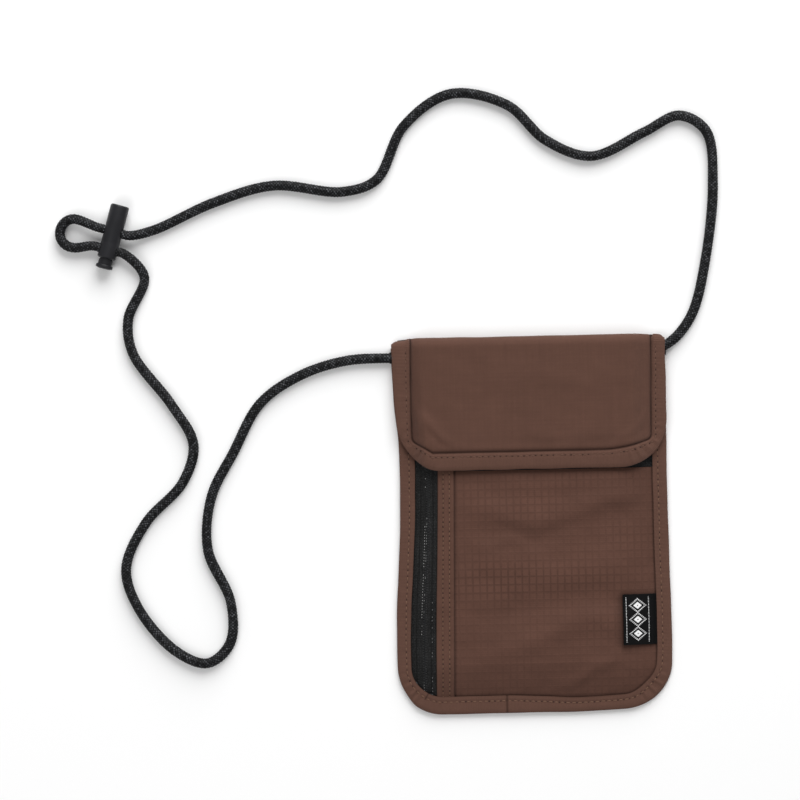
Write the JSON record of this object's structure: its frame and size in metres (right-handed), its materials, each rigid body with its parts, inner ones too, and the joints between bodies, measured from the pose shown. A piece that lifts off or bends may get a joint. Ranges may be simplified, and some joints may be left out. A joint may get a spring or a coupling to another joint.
{
  "type": "neck pouch wallet",
  "caption": "Flat bound neck pouch with a hook-and-loop flap, a side zip, a zipped front pocket and a round neck cord with a spring cord lock.",
  "frame": {"origin": "centre of the pouch's back where it lies on the table, midway between its sides and between its bottom and its fold", "axes": "+Z out of the pouch's front, +Y from its bottom edge to the flap's fold, +X to the right as the front is seen"},
  "size_m": [0.351, 0.3309, 0.0113],
  "materials": {
    "plain_weave": "fine plain weave, matt",
    "ripstop_fabric": "ripstop nylon, fine raised grid",
    "binding_tape": "woven grosgrain tape, matt",
    "grey_lining": "thin plain lining",
    "shield_foil": "thin metallised non-woven sheet",
    "zip_tape": "woven zip tape, matt",
    "zip_coil": "nylon coil",
    "zip_metal": "black painted metal, satin",
    "loop_pile": "soft looped pile",
    "hook_pile": "stiff hooked pile",
    "label_weave": "woven label tape",
    "cord_braid": "round braided cord, slight sheen",
    "lock_plastic": "moulded plastic, satin",
    "spring_steel": "spring wire"
  },
  "bodies": {
    "pouch": {"back_panel": "plain_weave", "shielding_liner": "shield_foil", "back_lining": "grey_lining", "divider_panel": "grey_lining", "front_pocket_panel": "ripstop_fabric", "upper_front_panel": "plain_weave", "zip_facing": "plain_weave", "side_zip_tape_left": "zip_tape", "side_zip_tape_right": "zip_tape", "side_zip_coil_left": "zip_coil", "side_zip_coil_right": "zip_coil", "side_zip_bottom_stop": "zip_metal", "side_zip_top_stop": "zip_metal", "top_zip_tape_lower": "zip_tape", "top_zip_tape_upper": "zip_tape", "top_zip_coil_lower": "zip_coil", "top_zip_coil_upper": "zip_coil", "top_zip_stop_right": "zip_metal", "top_zip_stop_left": "zip_metal", "body_binding": "binding_tape", "flap_fold": "plain_weave", "fold_binding_left": "binding_tape", "fold_binding_right": "binding_tape", "loop_patch": "loop_pile", "label": "label_weave", "neck_cord": "cord_braid", "cord_anchor_left": "cord_braid", "cord_anchor_right": "cord_braid"},
    "flap": {"flap_outer_panel": "plain_weave", "flap_lining": "grey_lining", "flap_binding": "binding_tape", "hook_patch": "hook_pile"},
    "side_slider": {"side_slider": "zip_metal"},
    "side_pull": {"side_pull": "zip_metal"},
    "top_slider": {"top_slider": "zip_metal", "top_pull": "zip_metal"},
    "cord_lock": {"lock_barrel": "lock_plastic"},
    "lock_plunger": {"lock_plunger": "lock_plastic", "lock_spring": "spring_steel"}
  },
  "joints": [
    {"name": "flap_hinge", "type": "hinge", "parent": "pouch", "child": "flap", "pos_m": [0, 0.0948, 0.0056], "axis": [-1, 0, 0], "range_deg": [0, 178], "deforming": ["flap_fold", "fold_binding_left", "fold_binding_right"]},
    {"name": "side_zip_slide", "type": "slide", "parent": "pouch", "child": "side_slider", "axis": [0, -1, 0], "range_m": [0, 0.132], "deforming": ["side_zip_coil_left", "side_zip_coil_right"]},
    {"name": "side_pull_hinge", "type": "hinge", "parent": "side_slider", "child": "side_pull", "pos_m": [-0.05736, 0.066, 0.0055], "axis": [-0.9705, 0, -0.2412], "range_deg": [0, 8]},
    {"name": "top_zip_slide", "type": "slide", "parent": "pouch", "child": "top_slider", "axis": [1, 0, 0], "range_m": [0, 0.067], "deforming": ["top_zip_coil_lower", "top_zip_coil_upper"]},
    {"name": "lock_slide", "type": "slide", "parent": "pouch", "child": "cord_lock", "axis": [0.9613, -0.2756, 0], "range_m": [-0.003, 0.003]},
    {"name": "plunger_press", "type": "slide", "parent": "cord_lock", "child": "lock_plunger", "axis": [0.2756, 0.9613, 0], "range_m": [0, 0.003], "stiffness_N_per_m": 400, "springref_m": -0.004, "deforming": ["lock_spring"]}
  ]
}
